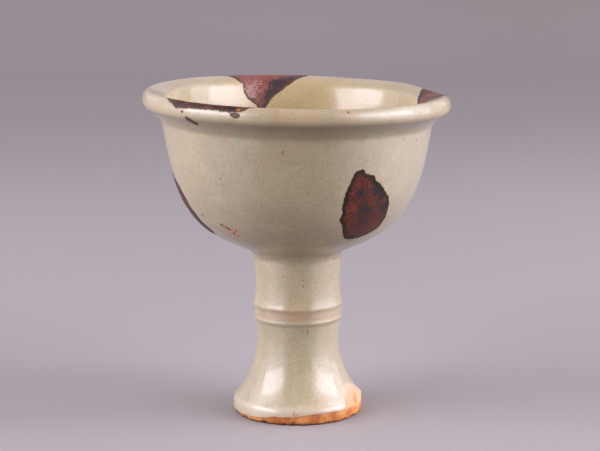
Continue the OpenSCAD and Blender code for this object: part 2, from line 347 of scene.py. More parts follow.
class Shader:
    """A material's node graph in mm coordinates of the object, with the colour built up so far."""

    def __init__(self, name):
        self.material = bpy.data.materials.new(name)
        self.material.use_nodes = True
        self.tree = self.material.node_tree
        self.tree.nodes.clear()
        self.out = self.add("OutputMaterial")
        self.p = self.vector("SCALE", self.add("TexCoord").outputs["Object"], scale=1 / MM)

    def add(self, kind, ins=None, **props):
        n = self.tree.nodes.new("ShaderNode" + kind)
        for k, v in props.items():
            setattr(n, k, v)
        for k, v in (ins or {}).items():
            self.put(n.inputs[k], v)
        return n

    def put(self, socket, v):
        if isinstance(v, bpy.types.NodeSocket):
            self.tree.links.new(v, socket)
        else:
            socket.default_value = v

    def vector(self, op, a, b=None, scale=None):
        n = self.add("VectorMath", {0: a}, operation=op)
        if b is not None:
            self.put(n.inputs[1], b)
        if scale is not None:
            self.put(n.inputs["Scale"], scale)
        return n.outputs["Value" if op in ("LENGTH", "DISTANCE") else "Vector"]

    def math(self, op, a, b=0.0, c=None):
        n = self.add("Math", {0: a, 1: b}, operation=op)
        if c is not None:
            self.put(n.inputs[2], c)
        return n.outputs[0]

    def times(self, a, b):
        return self.math("MULTIPLY", a, b)

    def plus(self, a, b):
        return self.math("ADD", a, b)

    def swing(self, v, k):
        """A noise of 0 to 1 as one of k round 0."""
        return self.math("MULTIPLY_ADD", v, k, -k / 2)

    def xyz(self):
        return self.add("SeparateXYZ", {0: self.p}).outputs

    def noise(self, scale, detail=2.0, rough=0.5, distortion=0.0, at=None):
        return self.add("TexNoise", {"Vector": at or self.p, "Scale": scale, "Detail": detail,
                                     "Roughness": rough, "Distortion": distortion}).outputs["Fac"]

    def cells(self, scale, channel, share):
        """Distance from scattered points, and 1 at those whose random tone lies over a share."""
        n = self.add("TexVoronoi", {"Vector": self.p, "Scale": scale})
        tone = self.add("SeparateColor", {0: n.outputs["Color"]}).outputs[channel]
        return n.outputs["Distance"], self.math("GREATER_THAN", tone, share)

    def near(self, v, lo, hi, a=0.0, b=1.0):
        """A smooth change from a at lo to b at hi."""
        n = self.add("MapRange", {0: v, 1: lo, 2: hi, 3: a, 4: b}, interpolation_type="SMOOTHSTEP")
        return n.outputs[0]

    def ramp(self, v, *stops):
        n = self.add("ValToRGB", {0: v})
        e = n.color_ramp.elements
        e[0].position, e[0].color = stops[0]
        e[1].position, e[1].color = stops[-1]
        for pos, col in stops[1:-1]:
            e.new(pos).color = col
        return n.outputs["Color"]

    def mix(self, f, a, b, blend="MIX"):
        n = self.add("Mix", data_type="RGBA", blend_type=blend)
        for i, v in ((0, f), (6, a), (7, b)):
            self.put(n.inputs[i], v)
        return n.outputs[2]

    def paint(self, f, tone, blend="MIX"):
        self.colour = self.mix(f, self.colour, tone, blend)

    def attribute(self, name):
        return self.add("Attribute", attribute_name=name).outputs["Fac"]

    def spot(self, centre, r, soft):
        """A round mark at a point in mm, with a ragged edge."""
        d = self.vector("DISTANCE", self.p, centre)
        d = self.plus(d, self.swing(self.noise(1.6, 1), 0.8 * r))
        return self.near(d, r * (1 - soft), r * (1 + soft), 1, 0)

    def marks(self, places, tone, strength, soft=0.35, deep=0.0):
        """Round marks of a tone at places (length s, azimuth in degrees, radius)."""
        for s, az, r in places:
            self.paint(self.times(self.spot(mm(s, az, -deep), r, soft), strength), tone)

    def finish(self, roughness, height, strength, distance, round_axis=False, **values):
        n = self.add("BsdfPrincipled", {"Base Color": self.colour, "Roughness": roughness})
        for k, v in values.items():
            self.put(n.inputs[k.replace("_", " ")], v)
        b = self.add("Bump", {"Height": height, "Strength": strength, "Distance": distance})
        self.put(n.inputs["Normal"], b.outputs["Normal"])
        if round_axis:
            self.put(n.inputs["Tangent"], self.add("Tangent", direction_type="RADIAL", axis="Z").outputs[0])
        self.put(self.out.inputs["Surface"], n.outputs[0])
        return self.material


# Materials
# marks on the glaze: length s, azimuth in degrees, radius, tone
SPECKS = (
    (LIP + 2.36, 18.3, 0.42, (104, 58, 40)), (96.3, 59.4, 0.34, (96, 74, 50)),
    (94.9, -5.7, 0.5, (150, 128, 100)), (73.2, -55.8, 0.6, (84, 46, 38)), (27, 13.3, 0.34, (136, 122, 104)),
    (27.7, 13.7, 0.36, (128, 114, 98)), (28.4, 12.4, 0.34, (140, 126, 108)),
    (28.2, 6, 0.4, (158, 142, 118)), (51.4, 3, 0.26, (112, 92, 70)), (47.6, -4.2, 0.26, (128, 104, 76)),
    (43.2, 7.8, 0.24, (120, 96, 70)), (41.5, 8.1, 0.3, (104, 78, 52)), (44.2, -18.9, 0.28, (150, 112, 84)),
    (45.9, -0.3, 0.2, (128, 106, 80)), (4, -3.6, 0.45, (196, 146, 108)), (3.2, -3.2, 0.4, (184, 130, 92)),
    (3.4, -0.6, 0.4, (200, 152, 114)),
)
STAINS = (
    (54, 26.4, 1.5), (51, 36, 1.3), (49, 41, 0.9), (33, -29, 1.4), (33, -19, 1.5), (32.9, -9, 1.5),
    (32.9, 1, 1.6), (32.8, 11, 1.5), (32.6, -52, 1.3), (32.5, -54, 0.6), (99.7, 14.7, 1.3), (100.2, 12, 1),
    (99, 0.3, 0.9), (102.4, 2.1, 0.8), (LIP + 2.2, -7.5, 1), (98.2, 27, 1.1), (97.5, -30, 1),
)
SCAR = ((70.8, -43.2, 0.8), (70.1, -41.4, 1), (69.3, -39.4, 1.35), (68.7, -36.9, 1.6), (67.3, -36.6, 1.5),
        (66, -36.2, 1.1))
SCAR_PITS = ((70.8, -43.1, 0.55), (70, -41.2, 0.42), (69.5, -39.6, 0.65), (67.6, -37.9, 0.5),
             (69, -35, 0.36), (66.4, -36.4, 0.36))
# marks on the bare clay of the foot
BURNS = ((1.9, -24, 1.5), (1.7, -17, 1.7), (2, -9, 1.2), (2, 13, 1.5), (2.4, 18, 1.3),
         (2.2, 33, 1.2), (1.8, 52, 1.3))
STROKE = ((6, 73.5, 0.75), (5.5, 70.5, 0.75), (5.1, 67.8, 0.75), (4.6, 65.7, 0.75), (4.2, 64.2, 0.75))


def glaze_colour(g):
    """Clouded, sandy grey-green to buff; gives the noises it is made of."""
    big, mid = g.noise(0.045, 2), g.noise(0.26, 3, 0.55)
    fine, grain, soft = g.noise(1.5, 2, 0.6), g.noise(3.4, 1), g.noise(0.55, 2, 0.5)
    x, _, z = g.xyz()
    cloud = g.plus(g.times(big, 0.65), g.times(mid, 0.35))
    # warmer towards one side of the kiln, greener towards the other
    cloud = g.plus(cloud, g.near(x, -40, 40, 0.03, -0.04))
    g.colour = g.ramp(cloud, (0.36, rgb(189, 176, 143)), (0.5, rgb(200, 185, 151)),
                      (0.64, rgb(210, 192, 158)))
    # painted light: paler on the right side of the wall, where the right lamps light it
    painted_light_band = g.times(g.near(z, 48, 56), g.near(z, 83, 88, 1, 0))
    g.paint(g.times(g.near(x, 4, 34, 0, 0.42), painted_light_band), rgb(222, 212, 186))
    # sandy grain: small darker points
    sand = g.ramp(fine, (0.28, rgb(202, 194, 178)), (0.5, rgb(246, 246, 246)), (0.72, WHITE))
    dust = g.ramp(grain, (0.25, rgb(205, 198, 184)), (0.55, rgb(250, 250, 250)), (0.75, WHITE))
    haze = g.ramp(soft, (0.3, rgb(226, 224, 220)), (0.6, WHITE))
    for strength, tone in ((0.46, sand), (0.25, dust), (0.22, haze)):
        g.paint(strength, tone, "MULTIPLY")
    return mid, fine, grain


def glaze_material():
    g = Shader("glaze")
    mid, fine, grain = glaze_colour(g)
    # painted bounce light: yellower inside the bowl
    g.paint(g.attribute("pool"), rgb(255, 250, 234), "MULTIPLY")
    # faint warm streaks down the wall
    streak = g.noise(0.3, 3, 0.6, 0.4, g.vector("MULTIPLY", g.p, (1, 1, 0.3)))
    g.paint(g.near(streak, 0.5, 0.68, 0, 0.25), rgb(200, 168, 136))
    # warm blush where the glaze runs thin
    thin = g.times(g.attribute("thin"), g.near(g.noise(0.16, 3, 0.6), 0.38, 0.66, 0.1, 1))
    g.paint(g.times(thin, 0.5), rgb(208, 172, 132))
    # paler and milky where it ran thick over the foot rim
    milk = g.plus(g.attribute("milk"), g.swing(mid, 1.2))
    g.paint(g.near(milk, 0.15, 0.85, 0, 0.34), rgb(232, 216, 198))
    # the clay shines through towards the edge, with a milky line before it
    worn = g.plus(g.attribute("verge"), g.swing(fine, 0.7))
    g.paint(g.near(worn, 0.08, 0.45, 0, 0.7), rgb(228, 201, 172))
    g.paint(g.near(worn, 0.42, 0.95, 0, 0.95), rgb(240, 186, 142))
    # iron specks out of the clay: faint ones close together, dark ones wider apart
    for cells, lo, hi, strength, tone in (((0.3, 0, 0.72), 0.05, 0.13, 0.4, rgb(128, 100, 72)),
                                          ((0.11, 1, 0.6), 0.02, 0.05, 0.7, rgb(104, 74, 52))):
        d, pick = g.cells(*cells)
        speck = g.times(g.near(d, lo, hi, 1, 0), pick)
        g.paint(g.times(speck, strength), tone)
    for *place, tone in SPECKS:
        g.marks([place], rgb(*tone), 0.7)
    # faint warm stains on and under the lip, at the joint and in the band
    g.marks(STAINS, rgb(190, 142, 110), 0.35, 0.8)
    # a scar where something stuck in the kiln: bare orange clay with dark pits
    bare = g.ramp(grain, (0.36, rgb(176, 118, 82)), (0.52, rgb(228, 176, 136)))
    g.marks(SCAR, bare, 1, 0.5)
    g.marks(SCAR_PITS, rgb(74, 48, 36), 1)
    height = g.plus(g.times(fine, 0.35), g.times(mid, 0.9))
    # fine wheel lines draw the gloss out up and down the wall
    return g.finish(g.near(mid, 0.3, 0.7, 0.36, 0.42), height, 0.35, 0.00006, round_axis=True,
                    IOR=1.5, Specular_IOR_Level=0.95, Anisotropic=0.9, Anisotropic_Rotation=0.25,
                    Coat_Weight=0.75, Coat_Roughness=0.085, Coat_IOR=1.5)


def iron_material(name, inner, pale, slate, border, wide, warm=None,
                  rough=(0.4, 0.55), grade=(0.7, 0.6, 0.3)):
    """Red-brown iron, mottled and streaked, with slate clouds, a dark border and a ragged, soft edge."""
    g = Shader(name)
    glaze_colour(g)
    glaze = g.colour
    edge, tone = g.attribute("edge"), g.attribute("tone")
    up = g.vector("MULTIPLY", g.p, (1, 1, 0.5))
    noises = (0.42, 4, 0.6, 1), (1.25, 3, 0.62, 0.7), (3.2, 2, 0.6, 0)
    big, mid, fine = (g.near(g.noise(*n, up), 0.36, 0.64, -0.5, 0.5) for n in noises)
    rag = g.plus(g.times(mid, 0.55), g.times(fine, 0.45))
    g.colour = g.ramp(g.plus(rag, 0.5), *((at, rgb(*c)) for at, c in zip((0.1, 0.5, 0.9), inner)))
    # pale places of the iron; on the far splash partly a painted reflection of the lamp's highlight
    light = g.math("SUBTRACT", g.times(rag, 0.9), tone)
    g.paint(g.near(light, 0.1, 0.75, 0, 0.9), rgb(*pale))
    if warm:
        rust = g.plus(g.attribute("warm"), g.times(rag, 0.75))
        g.paint(g.near(rust, 0.3, 0.85), rgb(*warm))
    cloud = g.plus(g.times(mid, grade[1]), g.times(fine, grade[2]))
    cloud = g.plus(g.math("MULTIPLY_ADD", big, grade[0], tone), cloud)
    g.paint(g.near(cloud, 0.2, 0.5, 0, 0.85), rgb(*slate[0]))
    g.paint(g.near(cloud, 0.5, 0.9, 0, 0.95), rgb(*slate[1]))
    ragged = g.plus(edge, g.times(rag, 1.1 * wide))
    g.paint(g.near(ragged, 0.7 * wide, 1.75 * wide, 0.95, 0), rgb(*border))
    fade = g.near(g.plus(edge, g.times(rag, 0.34)), 0.08, 0.56)
    g.colour = g.mix(fade, glaze, g.colour)
    return g.finish(g.near(mid, -0.5, 0.5, *rough), rag, 0.4, 0.00004, IOR=1.5, Specular_IOR_Level=0.3)


def clay_material():
    g = Shader("stoneware")
    big, mid, fine = g.noise(0.12, 3), g.noise(0.6, 3, 0.6), g.noise(3, 2, 0.6)
    cloud = g.plus(g.times(big, 0.5), g.times(mid, 0.5))
    g.colour = g.ramp(cloud, (0.36, rgb(190, 112, 54)), (0.5, rgb(222, 141, 72)), (0.62, rgb(236, 165, 96)))
    x, _, z = g.xyz()
    reach = g.vector("LENGTH", g.vector("MULTIPLY", g.p, (1, 1, 0)))
    low = g.plus(z, g.swing(mid, 2.4))
    # painted shade: darker along the outer edge it stands on, strongest on the left half and at the front,
    # standing in for the contact shadow
    contact_shade = g.times(g.near(x, 1, 11, 0.97, 0.6), g.near(reach, foot_r - 2.2, foot_r - 1, 0.25, 1))
    g.paint(g.times(g.near(low, 0.1, 1.15, 1, 0), contact_shade), rgb(74, 37, 22))
    # pale where a thin film of glaze was wiped off
    film = g.times(g.near(low, 2, 3.5, 0, 0.9), g.near(reach, 14.2, 15.4))
    g.paint(film, rgb(240, 190, 148))
    g.paint(g.times(g.near(fine, 0.56, 0.7), 0.25), rgb(244, 206, 172))
    d, pick = g.cells(0.8, 0, 0.7)
    pit = g.times(g.near(d, 0.08, 0.2, 1, 0), pick)
    g.paint(g.times(pit, 0.6), rgb(92, 58, 42))
    # burnt redder in places, and a dark stroke down the wiped place
    g.marks(BURNS, rgb(176, 94, 52), 0.6, 0.7, glaze_t)
    g.marks(STROKE, rgb(196, 124, 66), 0.45, 0.8, glaze_t)
    height = g.plus(g.times(mid, 0.7), g.times(fine, 0.6))
    return g.finish(g.near(mid, 0.3, 0.7, 0.72, 0.9), height, 0.7, 0.00015, IOR=1.45)


def slip_material():
    g = Shader("slip")
    mid, fine = g.noise(0.5, 3, 0.6), g.noise(3, 2, 0.6)
    g.colour = g.ramp(mid, (0.35, rgb(150, 100, 70)), (0.65, rgb(190, 132, 94)))
    g.paint(g.times(g.near(fine, 0.58, 0.72), 0.4), rgb(222, 176, 138))
    return g.finish(g.near(mid, 0.3, 0.7, 0.75, 0.9), fine, 0.6, 0.0001, IOR=1.45)


GLAZE = glaze_material()
CLAY = clay_material()
SLIP = slip_material()
IRON = iron_material(
    "iron_spot", inner=((82, 41, 37), (106, 53, 46), (126, 70, 58)), pale=(136, 74, 50),
    slate=((76, 60, 56), (48, 47, 50)), border=(50, 38, 26), wide=1.25)
IRON_LIP = iron_material(
    "iron_lip", inner=((56, 27, 23), (80, 39, 33), (104, 57, 45)), pale=(122, 84, 70),
    slate=((68, 48, 40), (46, 34, 30)), border=(54, 36, 28), wide=0.5, warm=(200, 136, 70))
IRON_RIGHT = iron_material(
    "iron_right", inner=((92, 54, 48), (116, 68, 60), (142, 88, 78)), pale=(150, 98, 88),
    slate=((86, 64, 56), (64, 50, 44)), border=(74, 55, 40), wide=0.8)
# its pale tone is partly a painted reflection of the lamp's highlight that crosses the splash's left part
IRON_FAR = iron_material(
    "iron_far", inner=((120, 66, 61), (142, 80, 73), (156, 102, 94)), pale=(172, 138, 132),
    slate=((98, 70, 60), (60, 50, 54)), border=(82, 58, 46), wide=0.9, warm=(160, 82, 56),
    rough=(0.4, 0.52), grade=(0.6, 0.7, 0.35))


# Glaze
COLS = 384
AZ = np.linspace(0, 2 * math.pi, COLS, endpoint=False)
# how deep the backs of the two coats lie in the clay; the inside one stays just clear of it
SINK_OUT, SINK_IN = 0.07, -0.01

# the ragged edge of the glaze round the foot, lowest at the back left, scraped off at the right
EDGE_AT = np.radians([
    -180, -150, -120, -90, -66, -60, -46, -34.5, -28.5, -23, -17, -9, -2, 5, 9, 20, 32, 40, 46, 49, 52, 56,
    62, 68, 75, 82, 88, 92, 96, 110, 130, 150, 180])
EDGE_S = [0.9, 0.7, 0.6, 0.7, 0.9, 0.9, 1.1, 1.3, 1.7, 2.1, 2.1, 2.25, 2.25, 2.6, 2.8, 2.95, 3.1, 2.9, 3.1,
          4.2, 5.6, 6.7, 7.2, 7.3, 7, 6.4, 5.2, 3.8, 3.3, 3.2, 2.6, 1.8, 0.9]


def glaze_edge(az):
    a = (np.asarray(az) + math.pi) % (2 * math.pi) - math.pi
    c = np.stack([foot_r * np.sin(a), foot_r * np.cos(a), 0 * a], -1)
    rag = 0.1 * noise(c / 1.3, 11) + 0.09 * noise(c / 0.5, 12) + 0.14 * noise(c / 4, 13)
    return np.maximum(np.interp(a, EDGE_AT, EDGE_S) + rag, 0.35)


# up to this length the rows follow the ragged edge
STRETCH = 17.0


def wiped(az):
    """1 at the place on the foot where the glaze was wiped off, 0 elsewhere."""
    a = (np.degrees(az) + 180) % 360 - 180
    return step(a, 44, 52) * (1 - step(a, 90, 98))


def taper(az):
    """Length over which the glaze thins out to its edge: long round the wiped place."""
    return 0.75 + 2.2 * wiped(az)


def outer(s, az):
    """The outside coat: its rows are drawn up to the ragged edge, where it thins out."""
    low = glaze_edge(az)
    at = np.where(s < STRETCH, low + s * (1 - low / STRETCH), s)
    e = at - low
    q = np.clip(1 - e / taper(az), 0, 1)
    fall = np.where(wiped(az) > 0.5, q ** 1.5, 1 - np.sqrt(1 - q * q))
    bead = 0.04 * np.exp(-((e - 1.2) / 0.7) ** 2)
    return skin(at, az, -(glaze_t + 0.05) * fall + bead)


def coat(name, node, verts, faces, normals, **shown):
    """A coat of glaze; what is shown at its visible points, which come first, is 0 at its back."""
    attributes = {}
    for key in ("thin", "verge", "pool", "milk"):
        values = np.ravel(shown.get(key, []))
        attributes[key] = np.pad(values, (0, len(verts) - len(values)))
    solid(name, verts, faces, node, GLAZE, normals, attributes)


def pace_outside(s):
    return np.select([s < 0.7, s < 6, s < 28, s < 36, s < 48, s < 55.5, s < 97, s < 104],
                     [0.08, 0.28, 0.75, 0.24, 0.75, 0.4, 0.78, 0.4], 0.24)


def pace_inside(s):
    return np.select([s < LIP + 4.2, s < LIP + 15, s < LIP + 44], [0.24, 0.36, 0.75], 0.9)


def outside_coat():
    az, s = np.meshgrid(AZ, spaced(0, LIP, pace_outside))
    low = glaze_edge(AZ)
    back = [skin(low + (LIP - low) * t, AZ, -glaze_t - SINK_OUT) for t in np.linspace(1, 0, 26)]
    verts, faces = revolved(list(outer(s, az)) + back, ring=True)
    normals = np.zeros_like(verts)
    normals[: s.size] = facing(outer, s, az).reshape(-1, 3)
    band_lo, band_hi = along(band_z - band_w / 2), along(band_z + band_w / 2)
    on_band = step(s, band_lo - 0.6, band_lo + 0.6) * (1 - step(s, band_hi, band_hi + 2.4))
    thin = np.clip(0.75 * step(s, LIP - 4.2, LIP - 0.5) + 0.6 * on_band, 0, 1)
    from_edge = np.where(s < STRETCH, s * (1 - low / STRETCH), s)
    verge = 1 - step(from_edge, 0.0, 1.5 * taper(az))
    coat("glaze_outside_coat", "glaze_outside", verts, faces, normals,
         thin=thin, verge=verge, milk=1 - step(s, 2.6, 5.6))


def inside_coat():
    az, s = np.meshgrid(AZ, spaced(LIP, END, pace_inside)[:-1])
    face, deep = skin(s, az), -glaze_t - SINK_IN
    verts, faces = revolved(list(face) + [skin(END, 0)[None]])
    back = [skin(LIP + (END - LIP) * t, AZ, deep) for t in np.linspace(0.985, 0, 24)]
    back_verts, back_faces = revolved([skin(END, 0, deep)[None]] + back + [face[0]])
    # the back shares the face's first row at the seam
    ids = np.concatenate([len(verts) + np.arange(len(back_verts) - COLS), np.arange(COLS)])
    faces += [[int(ids[i]) for i in f] for f in back_faces]
    verts = np.concatenate([verts, back_verts[:-COLS]])
    normals = np.zeros_like(verts)
    normals[: s.size] = facing(skin, s, az).reshape(-1, 3)
    normals[s.size] = (0, 0, 1)
    # the inside below the lip is tinted yellower as painted bounce light
    coat("glaze_inside_coat", "glaze_inside", verts, faces, normals,
         thin=0.75 * (1 - step(s - LIP, 2, 9)), pool=np.append(step(s - LIP, 2.5, 9), 1))


outside_coat()
inside_coat()


# Clay
CLAY_AZ = np.linspace(0, 2 * math.pi, 288, endpoint=False)
LEVEL = 0 * CLAY_AZ
CLAY_R = foot_r - glaze_t
# chips round the foot: azimuth and width in degrees, depth
CHIPS = ((-2, 2.2, 0.5), (14, 3, 0.35), (-31, 2.6, 0.45), (57, 3.5, 0.5), (118, 4, 0.7), (171, 3, 0.5),
         (-96, 3.4, 0.6), (-140, 2.4, 0.4))
TURN_PITCH, TURN_DEEP = 3.6, 0.16


def under(r):
    """Height of the clay underside of the bowl over the joint."""
    return np.interp(r, BOWL[:, 0], BOWL[:, 1]) + glaze_t


def ring(r, z):
    """A row of points round the axis."""
    return settle(r + LEVEL, z + LEVEL, CLAY_AZ)


def worn(r, z, amount, seed):
    """Rough clay."""
    c = np.stack([r * np.sin(CLAY_AZ), -r * np.cos(CLAY_AZ), z + LEVEL], -1)
    return amount * noise(c / 0.9, seed) + 0.6 * amount * noise(c / 0.4, seed + 1)


def chipped():
    """Size of the worn edge round the foot."""
    c = np.stack([foot_r * np.sin(CLAY_AZ), foot_r * np.cos(CLAY_AZ), LEVEL], -1)
    chip = 0.55 + 0.25 * noise(c / 2.2, 31) + 0.2 * noise(c / 0.8, 32)
    for at, width, depth in CHIPS:
        a = (np.degrees(CLAY_AZ) - at + 180) % 360 - 180
        chip = chip + depth * np.exp(-(a / width) ** 2)
    return chip


def thrown_bowl():
    """Underside over the hollow, wall under the glaze, over the lip and down inside."""
    outside = spaced(JOINT_HI, LIP, lambda s: 0 * s + 1.2)
    inside = spaced(LIP, END, lambda s: 0 * s + 1.0)[1:-1]
    rows = [settle(np.array([0.0]), np.array([under(0.0)]), np.array([0.0]))]
    for r in np.arange(1.5, 18.5, 1.5):
        c = np.stack([r * np.sin(CLAY_AZ), -r * np.cos(CLAY_AZ), LEVEL], -1)
        rows.append(ring(r, under(r) + 0.05 * noise(c / 1.4, 21) * (r < 8)))
    rows += [skin(s, CLAY_AZ, -glaze_t) for s in np.concatenate([outside, inside])]
    rows.append(skin(END, 0, -glaze_t)[None])
    verts, faces = revolved(rows)
    solid("thrown_bowl", verts, faces, "bowl_body", CLAY)


def thrown_stem():
    """Turned hollow from the top down, chipped foot ring, wall under the glaze up to the joint."""
    rows = []
    hollow = [(bore_r, under(bore_r) - slip_t + 0.25), (bore_r, waist_h),
              ((bore_r + hollow_r) / 2, waist_h * 0.4), (hollow_r, foot_wear)]
    for r, z in bend(hollow, np.linspace(0, 1, 90)):
        spiral = 2 * math.pi * (z - TURN_PITCH * CLAY_AZ / (2 * math.pi)) / TURN_PITCH
        turn = TURN_DEEP * np.sin(spiral) * step(z, 1.5, 6)
        rows.append(ring(r + turn + worn(r, z, 0.05, 51), z))
    chip = chipped()
    inner_wear = 0.35 + 0.5 * (chip - 0.42)
    rows.append(ring(hollow_r + 0.3 * inner_wear, 0.25 * np.maximum(inner_wear, 0.1)))
    for r in np.linspace(hollow_r + foot_wear, CLAY_R - 1.3, 8):
        rows.append(ring(r, np.maximum(worn(r, 0, 0.09, 43), 0)))
    size = np.clip(chip, 0.2, 1.25)
    for t in np.linspace(0, 1, 7):
        a = math.radians(90 * t)
        r = CLAY_R - size * (1 - math.sin(a)) + 0.5 * worn(CLAY_R, t, 0.08, 45)
        z = size * 1.1 * (1 - math.cos(a)) + 0.5 * worn(CLAY_R, t, 0.06, 47)
        rows.append(ring(r, np.maximum(z, 0)))
    for s in np.concatenate([np.arange(1.5, 9, 0.3), np.arange(9, JOINT_LO, 1.6), [JOINT_LO]]):
        rough = worn(CLAY_R, s, 0.05, 49) * (1 - step(s, 9, 12))
        rows.append(skin(s, CLAY_AZ, -glaze_t + rough - 0.02))
    verts, faces = revolved(rows, ring=True)
    solid("thrown_stem", verts, faces, "stem_body", CLAY)


def slip_joint():
    """Slip squeezed out inside as an uneven bead, outside as the rounded collar under the glaze."""
    seat = under(bore_r)
    c = np.stack([bore_r * np.sin(CLAY_AZ), bore_r * np.cos(CLAY_AZ), LEVEL], -1)
    uneven = 0.22 * noise(c / 1.6, 61)
    rows = []
    for out, z in ((0.1, seat - slip_t + 0.2), (-0.35, seat - slip_t + 0.15), (-0.55, seat - slip_t / 2),
                   (-0.35, seat - 0.06), (0.3, seat - 0.02)):
        rows.append(ring(bore_r + out + uneven, z))
    for r in np.arange(8.0, 18.5, 2.0):
        rows.append(ring(r, under(r) - 0.03))
    for s in np.linspace(JOINT_HI - 0.2, JOINT_LO, 14):
        rows.append(skin(s, CLAY_AZ, -glaze_t - 0.03))
    verts, faces = revolved(rows, ring=True)
    solid("slip_joint", verts, faces, "luting_slip", SLIP)


thrown_bowl()
thrown_stem()
slip_joint()


# Iron
def closed(points, n):
    """A smooth closed line through a few points."""
    p = np.asarray(points, float)
    k = len(p)
    t = np.linspace(0, k, n, endpoint=False)
    i = t.astype(int)
    f = (t - i)[:, None]
    a, b, c, d = (p[(i + o) % k] for o in (-1, 0, 1, 2))
    square, cube = 2 * a - 5 * b + 4 * c - d, 3 * b - a - 3 * c + d
    return 0.5 * (2 * b + (c - a) * f + square * f ** 2 + cube * f ** 3)


def inward(q, border):
    """Distance of points to a border, both in mm on the unrolled wall."""
    return np.sqrt(((q[:, None] - border[None]) ** 2).sum(-1)).min(1)


def swell(edge, q, seed):
    """Height of the iron over the glaze: sunk at its border, a little proud inside."""
    c = np.stack([q[:, 0], q[:, 1], 0 * q[:, 0]], -1)
    rough = 0.018 * noise(c / 0.7, seed) + 0.02 * noise(c / 2.4, seed + 1)
    return -0.05 + 0.1 * (1 - np.exp(-edge / 0.3)) + rough


def clouds(q, ref, spots):
    """Sum of soft round clouds (azimuth in degrees, s, radius, strength)."""
    out = np.zeros(len(q))
    for az, s, r, k in spots:
        out += k * np.exp(-((q[:, 0] - math.radians(az) * ref) ** 2 + (q[:, 1] - s) ** 2) / r ** 2)
    return out


# the patches reach this far past their outlines, where the material fades them out, and this deep
SOFT, DEEP, TIP_DEEP = 0.4, 0.3, 0.1


def past_lip(marks):
    """Marks whose lengths are counted from the outermost line of the lip."""
    return [(az, LIP + s, *rest) for az, s, *rest in marks]


class Patch:
    """Rows of points on the unrolled wall, each with its distance from the border."""

    def __init__(self, ref):
        self.ref, self.rows, self.flats, self.edges = ref, [], [], []

    def row(self, q, edge, d):
        self.rows.append(skin(q[:, 1], q[:, 0] / self.ref, d))
        self.flats.append(q)
        self.edges.append(edge)

    def shape(self, tone, warm=()):
        """Vertices, faces and the values for the material."""
        q = np.concatenate(self.flats)
        values = np.concatenate(self.edges), clouds(q, self.ref, tone), clouds(q, self.ref, warm)
        return *revolved(self.rows), *values


def dab(points, ref, seed, rag=0.13, n=260, rings=26, tone=()):
    """A closed patch inside an outline of (azimuth in degrees, length s); ref is the wall's radius."""
    line = closed(points, n)
    flat = np.stack([np.radians(line[:, 0]) * ref, line[:, 1]], 1)
    mid = flat.mean(0)
    way = np.roll(flat, -1, 0) - np.roll(flat, 1, 0)
    way = np.stack([way[:, 1], -way[:, 0]], 1) / np.linalg.norm(way, axis=1)[:, None]
    way *= np.sign(np.sum(way * (flat - mid)))
    c = np.stack([flat[:, 0], flat[:, 1], 0 * flat[:, 0]], -1)
    out = SOFT + rag * noise(c / 1.1, seed) + 0.9 * rag * noise(c / 0.45, seed + 1)
    flat = flat + way * out[:, None]
    f = 1 - (1 - np.linspace(0, 1, rings + 1)[1:]) ** 1.7
    patch, centre = Patch(ref), mid[None]
    e = inward(centre, flat)
    patch.row(centre, e, swell(e, centre, seed))
    for k in f:
        q = mid + (flat - mid) * k
        e = inward(q, flat)
        patch.row(q, e, swell(e, q, seed))
    for k in (1.0, 0.5):
        q = mid + (flat - mid) * k
        patch.row(q, inward(q, flat), -DEEP)
    patch.row(centre, np.zeros(1), -DEEP)
    return patch.shape(tone)


def strip(stations, ref, seed, rag=0.16, n=170, across=26, tone=(), warm=()):
    """A closed patch along the lip, of (azimuth in degrees, lower edge, upper edge), both past the lip."""
    st = np.asarray(stations, float) + [0, LIP, LIP]
    t = (1 - np.cos(np.linspace(0, math.pi, n))) / 2
    az = st[0, 0] + (st[-1, 0] - st[0, 0]) * t
    lo, hi = np.interp(az, st[:, 0], st[:, 1]), np.interp(az, st[:, 0], st[:, 2])
    u = np.radians(az) * ref
    fade = np.clip((hi - lo) / 1.2, 0, 1)

    def uneven(off):
        p = np.stack([u, 0 * u + off, 0 * u], -1)
        return rag * noise(p / 0.9, seed) + 0.6 * rag * noise(p / 0.4, seed + 1)

    lo = lo - SOFT * fade + fade * uneven(0)
    hi = hi + SOFT * fade + fade * uneven(9)
    border = np.concatenate([np.stack([u, lo], 1), np.stack([u, hi], 1)])
    w = (1 - np.cos(np.linspace(0, math.pi, across))) / 2
    w = 0.5 * w + 0.5 * np.linspace(0, 1, across)
    patch = Patch(ref)
    for i in range(n):
        if i in (0, n - 1):
            patch.row(np.array([[u[i], (lo[i] + hi[i]) / 2]]), np.zeros(1), -TIP_DEEP)
            continue
        s = lo[i] + (hi[i] - lo[i]) * w
        top = np.stack([u[i] + 0 * s, s], 1)
        e = inward(top, border)
        bottom = top[::-1][1:-1:3]
        level = 0 * bottom[:, 0]
        patch.row(np.concatenate([top, bottom]), np.concatenate([e, level]),
                  np.concatenate([swell(e, top, seed), level - DEEP]))
    verts, faces, *values = patch.shape(past_lip(tone), past_lip(warm))
    return verts, [f[::-1] for f in faces], *values


def patches(name, material, parts):
    """One piece of iron of one or more patches; it stands for the node of its name."""
    verts, faces, n = [], [], 0
    for v, f, *_ in parts:
        verts.append(v)
        faces += [[i + n for i in q] for q in f]
        n += len(v)
    extra = {key: np.concatenate([p[i] for p in parts]) for i, key in ((2, "edge"), (3, "tone"), (4, "warm"))}
    solid(name, np.concatenate(verts), faces, name, material, None, extra)


